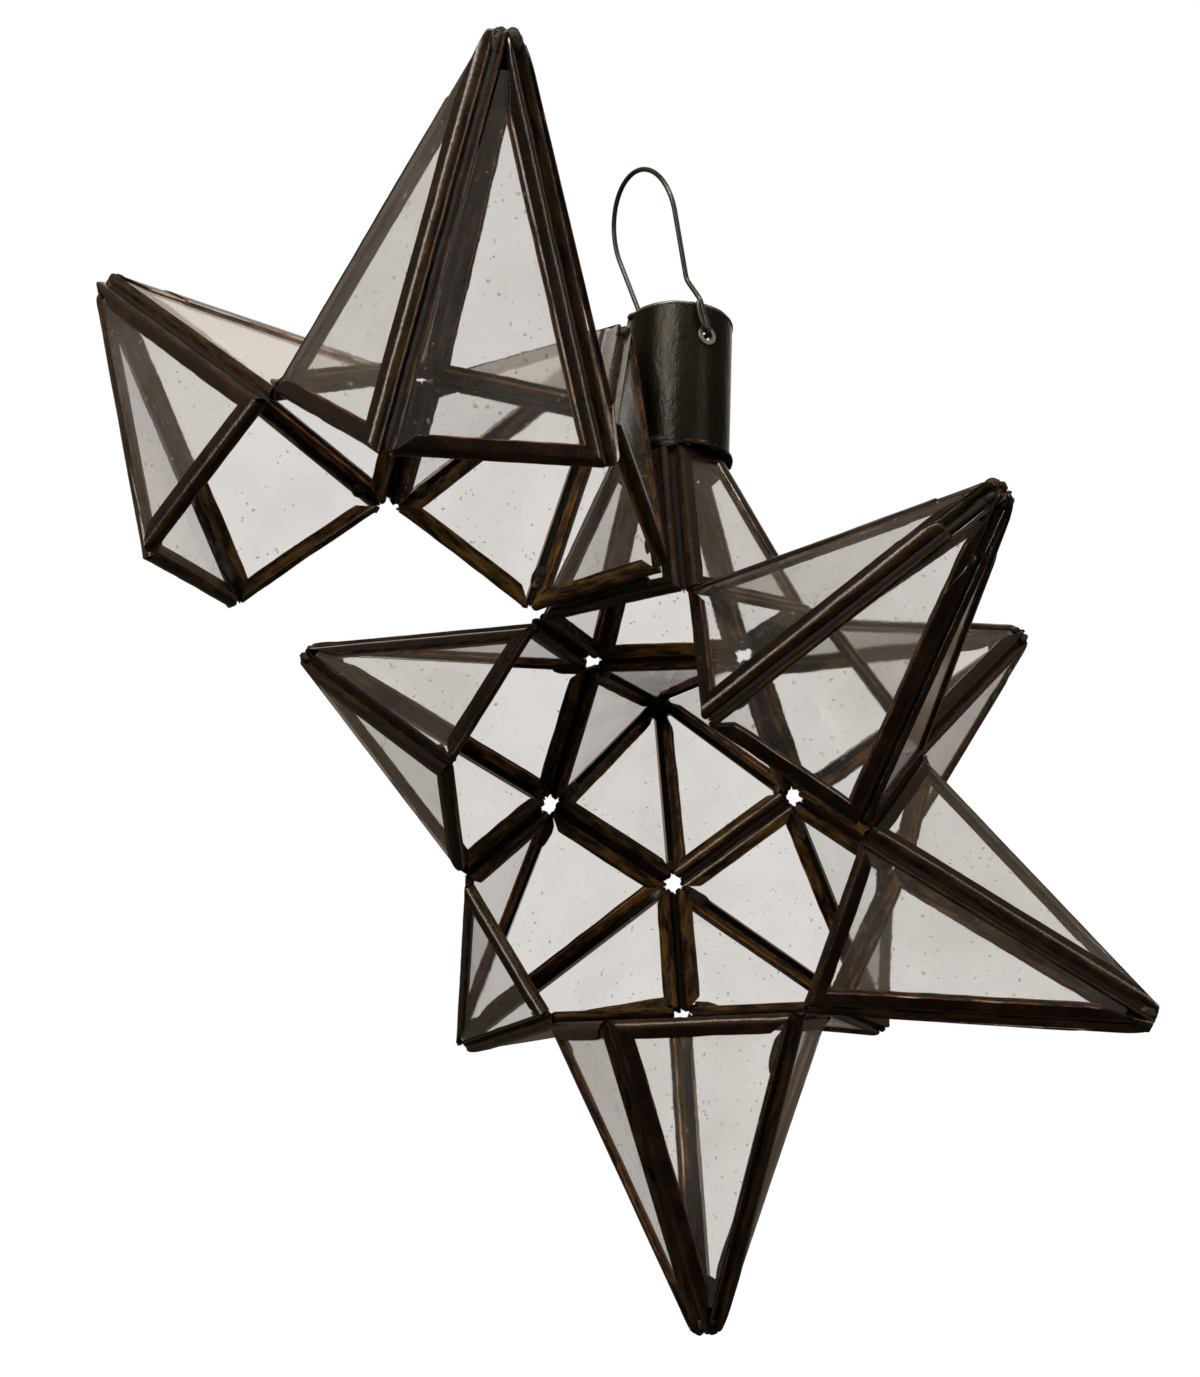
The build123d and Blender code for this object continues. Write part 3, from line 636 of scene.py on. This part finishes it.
def reach(tree, origin, along):
    """How far a ray goes to a strip's end, tried beside it where it slips between two faces."""
    for nudge in NUDGES:
        found = tree.ray_cast(origin + Vector(nudge) * mm, along)[3]
        if found is not None:
            return found
    return FAR


def strip_ends(corners, start, along, inward):
    """Where a solid strip starts and ends along its own line, at each point of the profile."""
    points = [point for triangle in corners for point in triangle]
    tree = BVHTree.FromPolygons(points, [(i, i + 1, i + 2) for i in range(0, len(points), 3)])
    ends = []
    for v, w in PROFILE:
        depth = min(max(v, SKIN), CAME_WIDTH - SKIN)
        height = min(abs(w), FOLD_RADIUS - SKIN)
        if v > CAME_SPINE - SKIN:
            height = max(height, SLOT_HALF + 2 * SKIN)
        foot = start + inward * depth + Vector((0, 0, copysign(height, w)))
        low = reach(tree, foot - along * FAR, along)
        high = reach(tree, foot + along * FAR, -along)
        ends.append((low - FAR, FAR - high))
    return ends


def stations(length, rounded, kink):
    """Shares of a strip's length to bend it at, closer together at a kink and at a rounded end."""
    count = int(length / STATION_STEP)
    shares = [i / count for i in range(count + 1)]
    if kink:
        near = [KINK_AT + step * mm / length for step in KINK_STEPS]
        shares = sorted([share for share in shares if not near[0] - 0.002 < share < near[-1] + 0.002] + near)
    if not rounded:
        return shares
    last = [1 - part * END_ROUND / length for part in END_SHARES]
    return [share for share in shares if share < last[0] - 0.3 / count] + last


def wear(u, v, w, low, high, seed, kink):
    """Where a strip's point goes when the strip is bent, dented, pinched and soldered by hand."""
    away = smooth(u - low, 0, 4 * mm) * smooth(high - u, 0, 4 * mm)
    folded = 1 - smooth(v, 0.8 * mm, 2.4 * mm)
    push = 0.28 * mm * (0.5 + 0.5 * wave(u / (20 * mm), seed)) * away
    dents = 0.24 * max(0.0, wave(u / (6 * mm), seed + 40))
    dents += 0.07 * wave(u / (1.9 * mm), seed + 60 + w / (2 * mm))
    push += dents * mm * folded * away
    push += 0.2 * mm * wave(u / (6 * mm), seed + 80) * smooth(v, CAME_WIDTH - 0.6 * mm, CAME_WIDTH)
    thin = 1 - 0.05 * (0.5 + 0.5 * wave(u / (13 * mm), seed + 120))
    if kink:
        beyond = u - low - KINK_AT * (high - low)
        past = smooth(beyond, 0, 0.6 * mm)
        bulge = smooth(beyond, -2.2 * mm, -0.2 * mm) - past
        push += kink * (past - 0.25 * bulge) * folded
        thin *= 1 - 0.12 * past
    return v + push, w * thin


def round_end(v, w, left):
    """Draws the section in towards a rounded end, by how far is left to it."""
    share = 1 - min(max(left / END_ROUND, 0.0), 1.0)
    size = 0.62 + 0.38 * sqrt(1 - share * share)
    if v < FOLD_RADIUS:
        v = FOLD_RADIUS + (v - FOLD_RADIUS) * size
    return v, w * size


def blunt(ends, cuts, seed):
    """A strip's ends with their sharp corners cut off, which leaves a hole where the strips meet."""
    cut = CUT_LEAST + CUT_MORE * chance(seed + 0.7)
    first = min(low for low, high in ends) + cut * cuts[0]
    last = max(high for low, high in ends) - cut * cuts[1]
    return [(max(low, first), min(high, last)) for low, high in ends]


def worn_strip(gathered, corners, side, place, seed, rounded, kink, cuts):
    """Adds one strip, with a round fold, between the ends of its solid one."""
    top = max(point.y for triangle in corners for point in triangle)
    start, along, inward = strip_axes(side, top)
    ends = blunt(strip_ends(corners, start, along, inward), cuts, seed)
    shares = stations(max(high - low for low, high in ends), rounded, kink)
    short = 1.7 * mm * chance(seed) ** 4 if rounded else 0.0
    points = []
    values = {"across": [], "level": [], "run": []}
    for share in shares:
        for (v, w), (low, high) in zip(PROFILE, ends):
            u = low + (high - low) * share
            depth, height = wear(u, v, w, low, high, seed, kink)
            if rounded:
                depth, height = round_end(depth, height, high - u)
                u -= short * smooth(u, high - 9 * mm, high)
            points.append(start + along * u + inward * depth + Vector((0, 0, height)))
            values["across"].append(v / CAME_WIDTH)
            values["level"].append(w / FOLD_RADIUS)
            values["run"].append(u + 0.37 * seed)
    gathered.add(points, tube_faces(len(shares), len(PROFILE)), place, **values)


def worn_strips(name, kind):
    """The strips of one node of a point, as bent and soldered by hand."""
    node = f"{name}_{kind}_cames"
    frames = panels(name)
    strips = sort_strips(node, frames)
    gathered = Mesh("across", "level", "run")
    first = list(POINTS).index(name) * 40 + (20 if kind == "rim" else 0)
    rounded = kind == "ridge" and name != "top_point"
    top_rim = kind == "rim" and name == "top_point"
    cuts = (not top_rim, kind == "rim" and not top_rim)
    for i, (panel, side) in enumerate(sorted(strips)):
        kink = 0.0
        if name in KINKS:
            kink = KINKS[name] * (kind == "ridge")
        elif rounded and chance(first + i + 0.3) > 0.5:
            kink = KINK_SMALL
        worn_strip(gathered, strips[panel, side], side, frames[panel], first + i, rounded, kink, cuts)
    gathered.finish(f"{name}_{kind}_strips", "came_tin", body_of(name), node)


# Solder
def lump(size, seed, rough=0.25, detail=3):
    """Points and faces of a smooth lump with an uneven skin, of given half sizes."""
    made = bmesh.new()
    bmesh.ops.create_icosphere(made, subdivisions=detail, radius=1.0)
    points = []
    for vert in made.verts:
        swell = 1 + rough * noise.noise(vert.co * 1.3 + Vector((seed * 5.1, seed * 2.3, 0.7)))
        swell += 0.4 * rough * noise.noise(vert.co * 3.1 + Vector((seed * 1.7, 0.3, seed * 4.4)))
        points.append(Vector((vert.co.x * size[0], vert.co.y * size[1], vert.co.z * size[2])) * swell)
    faces = [[vert.index for vert in face.verts] for face in made.faces]
    made.free()
    return points, faces


def at(place, x, y, z, turn=0.0):
    """A frame moved within another, and turned about its own z."""
    return place @ Matrix.Translation((x, y, z)) @ Matrix.Rotation(turn, 4, "Z")


def solder_run(gathered, place, low, high, wide, thick, seed):
    """A run of solder along a frame's z axis, uneven in width and height, with rounded ends."""
    count = int((high - low) / RUN_STEP)
    points = []
    for i in range(count + 1):
        z = low + (high - low) * i / count
        ends = sqrt(max(min((z - low) / RUN_ROUND, (high - z) / RUN_ROUND, 1.0), 0.03))
        half = wide * ends * (1 + 0.2 * wave(z / (4 * mm), seed))
        rise = thick * ends * (1 + 0.3 * wave(z / (3 * mm), seed + 9))
        lift = 0.2 * mm * wave(z / (6 * mm), seed + 21)
        points += [Vector((half * cos(turn), lift + rise * sin(turn), z)) for turn in TUBE_TURNS]
    gathered.add(points, tube_faces(count + 1, len(TUBE_TURNS)), place, bare=0.0)


def base_lumps(gathered, name, seed):
    """Lumps on the mitres at each pane's base corners, on the outside, but none where the door shuts."""
    for i, (panel, near) in enumerate(zip(panels(name), around(name))):
        for side in (-1, 1) if body_of(near) == body_of(name) else ():
            key = seed + 4 * i + side
            size = (0.7 + 0.7 * chance(key)) * mm
            x = side * (BASE_EDGE / 2 - RIDGE_INSET - (2.6 + chance(key + 0.2)) * mm)
            y = BASE_INSET + (1.6 + 0.6 * chance(key + 0.4)) * mm
            place = at(panel, x, y, CAME_THICK / 2 - 0.2 * mm, side * (2.3 + 0.4 * chance(key + 0.7)))
            gathered.add(*lump((2.2 * size, 1.2 * size, 0.5 * size), key, 0.3, 2), place, bare=0.5)


def corner_plates(gathered, name, seed):
    """Flat solder in the ridges' inner grooves by the base corners, further up where the door shuts."""
    ring = around(name)
    for i, ridge in enumerate(ridges(name)):
        key = seed + 3 * i
        length = (4.2 + 2.4 * chance(key)) * mm
        shared = body_of(ring[i - 1]) == body_of(ring[i]) == body_of(name)
        place = at(ridge, 0, -3.6 * mm, (3.4 if shared else 8.0) * mm + length)
        gathered.add(*lump((2.2 * mm, 0.75 * mm, length), key, 0.2, 3), place, bare=0.8)


def hole_lumps(gathered, names, seed):
    """Solder round the hole that is left where three points of a body meet."""
    middle = corner(*names)
    out = middle.normalized()
    place = shown(names[0]) @ frame_matrix(middle + out * BASE_SEAT, out.orthogonal(), out)
    for i in range(HOLE_LUMPS):
        key = seed + i
        turn = 2 * pi * (i + 0.8 * chance(key)) / HOLE_LUMPS
        far = (4.4 + 1.0 * chance(key + 0.3)) * mm
        size = (1.0 + 0.9 * chance(key + 0.6)) * mm
        spot = at(place, far * cos(turn), far * sin(turn), (-0.3 - 0.9 * chance(key + 0.8)) * mm, turn)
        gathered.add(*lump((0.8 * size, 1.5 * size, 0.9 * size), key, 0.3, 2), spot, bare=0.45)


def tip_lumps(gathered, name, seed):
    """Uneven lobes of solder that close a blunt tip, and a dark plug inside it."""
    tip = shown(name) @ frame_matrix(AXES[name] * TIP_CUT, AXES[name].orthogonal(), AXES[name])
    for i, ridge in enumerate(ridges(name)):
        key = seed + i
        away = tip.inverted() @ ridge.translation
        turn = atan2(away.y, away.x)
        far = (2.3 + 0.6 * chance(key + 0.3)) * mm
        high = (-2.9 + 0.9 * chance(key + 0.5)) * mm
        size = (1.9 + 0.5 * chance(key + 0.8)) * mm
        points, faces = lump((size, 0.8 * size, 1.3 * size), key)
        gathered.add(points, faces, at(tip, far * cos(turn), far * sin(turn), high, turn), bare=0.3)
    gathered.add(*lump((4.6 * mm, 4.6 * mm, 7 * mm), seed + 9, 0.15), at(tip, 0, 0, -9.5 * mm), bare=0.0)


def solder_pieces(body):
    """All the solder of a body, in one piece."""
    gathered = Mesh("bare")
    for i, seam in enumerate(seams(body)):
        place = at(seam, 0, BASE_SEAT, 0)
        solder_run(gathered, place, HOLE_HALF, BASE_EDGE - HOLE_HALF, *SEAM_RUN, SEEDS["seam"] + i)
    for i, name in enumerate(POINTS):
        if body_of(name) == body:
            end = TOP_RIDGE_END if name == "top_point" else RIDGE_END
            for j, ridge in enumerate(ridges(name)):
                place = at(ridge, 0, RIDGE_SEAT, 0)
                seed = SEEDS["ridge"] + 5 * i + j
                solder_run(gathered, place, HOLE_HALF, end - RUN_STOP, *RIDGE_RUN, seed)
            base_lumps(gathered, name, SEEDS["base"] + 31 * i)
            corner_plates(gathered, name, SEEDS["plate"] + 31 * i)
            if name != "top_point":
                tip_lumps(gathered, name, SEEDS["tip"] + 31 * i)
    for i, names in enumerate(meetings(body)):
        hole_lumps(gathered, names, SEEDS["hole"] + 13 * i)
    gathered.finish(f"{body}_solder_lumps", "solder", body, f"{body}_solder")


# Neck and bail
def neck_frame():
    """The neck's own frame, from its foot, with z up the tube."""
    return frame_matrix(NECK_FOOT, Vector((1, 0, 0)), NECK_AXIS)


def neck_rim():
    """The tube's upper edge, turned over by hand, with a burr on the left."""
    gathered = Mesh()
    points = []
    for i in range(RIM_STEPS):
        turn = 2 * pi * i / RIM_STEPS
        about = Vector((cos(turn), sin(turn), 0))
        size = (0.62 + 0.14 * wave(4 * sin(turn), 3) + 0.10 * wave(9 * cos(turn), 5)) * mm
        drop = 0.25 * mm * wave(3 * cos(turn) + sin(turn), 8)
        burr = 0.9 * mm * smooth(cos(turn - BURR_TURN), 0.990, 1.0)
        for lean in TUBE_TURNS:
            radius = NECK_RADIUS - 0.3 * mm + burr + size * cos(lean)
            points.append(about * radius + Vector((0, 0, NECK_LENGTH - 0.2 * mm + drop + size * sin(lean))))
    sides = len(TUBE_TURNS)
    faces = []
    for i in range(RIM_STEPS):
        here = sides * i
        there = sides * ((i + 1) % RIM_STEPS)
        for j in range(sides):
            k = (j + 1) % sides
            faces.append([here + j, here + k, there + k, there + j])
    gathered.add(points, faces, neck_frame())
    # Painted highlight: the rim takes the lighter tin, which stands for rubbed metal and for the bright line that
    # light draws along the rim.
    gathered.finish("neck_rim", "neck_tin", "star", paint="wear_and_highlight_tin")


def neck_foot():
    """Solder blobs round the tube's foot, on a thin uneven run."""
    gathered = Mesh("bare")
    place = neck_frame()
    for i in range(FOOT_BLOBS):
        turn = 2 * pi * (i + 0.6 * chance(i + 0.2)) / FOOT_BLOBS
        size = (0.9 + 0.9 * chance(i + 0.5) ** 2) * mm
        high = (0.1 + 0.9 * chance(i + 0.7)) * mm
        spot = at(place, NECK_RADIUS * cos(turn), NECK_RADIUS * sin(turn), high, turn)
        spot = spot @ Matrix.Translation((0, 0, tan(NECK_LEAN) * NECK_RADIUS * cos(turn)))
        gathered.add(*lump((0.8 * size, 1.9 * size, size), 50 + i, 0.3, 3), spot, bare=0.35)
    gathered.finish("neck_foot_solder", "solder", "star", "neck_solder")


def bail_end():
    """The wire's end, turned back alongside the front leg."""
    gathered = Mesh()
    up = BAIL_LOOP - BAIL_PIVOT
    place = frame_matrix(BAIL_PIVOT, BAIL_AXIS, BAIL_AXIS.cross(up))
    route = [(1.0, 0.5), (2.2, 1.35), (4.0, 1.75), (6.5, 1.8), (9.0, 1.72), (10.8, 1.3), (12.0, 0.7)]
    radius = WIRE_RADIUS * 0.95
    ring = [Vector((radius * cos(turn), 0, radius * sin(turn))) for turn in TUBE_TURNS]
    points = []
    for y, z in route:
        points += [Vector((BAIL_LEG, y * mm, z * mm)) + point for point in ring]
    gathered.add(points, tube_faces(len(route), len(TUBE_TURNS)), place)
    made = gathered.finish("bail_end", "bail_wire", "bail")
    smoother = made.modifiers.new("smooth", "SUBSURF")
    smoother.levels = 2
    smoother.render_levels = 2


# Stage
def add_floor():
    """A pale floor that the camera sees, and that throws no light on the lamp."""
    bpy.ops.mesh.primitive_plane_add(size=FLOOR_SIZE, location=(0, 0, FLOOR_LEVEL))
    floor = bpy.context.object
    floor.name = "floor"
    floor.data.materials.append(floor_material())
    floor.visible_diffuse = False
    floor.visible_glossy = False
    floor.visible_transmission = False


def add_light(name, place, wide, high, power):
    """A strip light, wide and high as it is seen from where it aims."""
    data = bpy.data.lights.new(name, "AREA")
    data.shape = "RECTANGLE"
    data.size = wide
    data.size_y = high
    data.energy = power
    data.color = LIGHT_TINT
    light = bpy.data.objects.new(name, data)
    light.visible_camera = False
    light.visible_transmission = False
    light.location = place
    light.rotation_euler = (LIGHT_AIM - Vector(place)).to_track_quat("-Z", "Y").to_euler()
    bpy.context.scene.collection.objects.link(light)


def add_world():
    """White behind the lamp, a pale backdrop through its glass, and a dim room in its reflections."""
    world = bpy.data.worlds.new("studio")
    world.use_nodes = True
    tree = world.node_tree
    rays = tree.nodes.new("ShaderNodeLightPath").outputs

    def add(kind, settings, *inputs):
        made = tree.nodes.new(kind)
        for name, value in settings.items():
            setattr(made, name, value)
        for place, value in inputs:
            if isinstance(value, bpy.types.NodeSocket):
                tree.links.new(value, made.inputs[place])
            else:
                made.inputs[place].default_value = value
        return made.outputs

    def math(operation, first, second):
        return add("ShaderNodeMath", {"operation": operation}, (0, first), (1, second))[0]

    def mix(share, first, second):
        return add("ShaderNodeMix", {"data_type": "RGBA"}, (0, share), (6, first), (7, second))[2]

    straight = math("MAXIMUM", rays["Is Camera Ray"], rays["Is Transmission Ray"])
    bounces = math("ADD", rays["Diffuse Depth"], rays["Glossy Depth"])
    direct = math("MULTIPLY", straight, math("LESS_THAN", bounces, 0.5))
    around_us = add("ShaderNodeTexCoord", {})["Generated"]
    height = add("ShaderNodeSeparateXYZ", {}, (0, around_us))["Z"]
    limits = [("From Min", -0.5), ("From Max", 1.0), ("To Min", ROOM_LOW), ("To Max", ROOM_HIGH)]
    room = add("ShaderNodeMapRange", {"interpolation_type": "SMOOTHSTEP"}, ("Value", height), *limits)[0]
    strength = add("ShaderNodeMapRange", {}, ("Value", direct), ("To Min", room))[0]
    behind = mix(rays["Is Camera Ray"], BACKDROP_TINT, (1, 1, 1, 1))
    background = tree.nodes["Background"]
    tree.links.new(mix(direct, ROOM_TINT, behind), background.inputs["Color"])
    tree.links.new(strength, background.inputs["Strength"])
    bpy.context.scene.world = world
    bpy.context.scene.view_settings.view_transform = "Standard"


add_camera()
paint_nodes()
for point in POINTS:
    worn_strips(point, "ridge")
    worn_strips(point, "rim")
solder_pieces("star")
solder_pieces("door")
neck_rim()
neck_foot()
bail_end()
add_floor()
add_world()
for light_name, light_values in LIGHTS.items():
    add_light(light_name, *light_values)
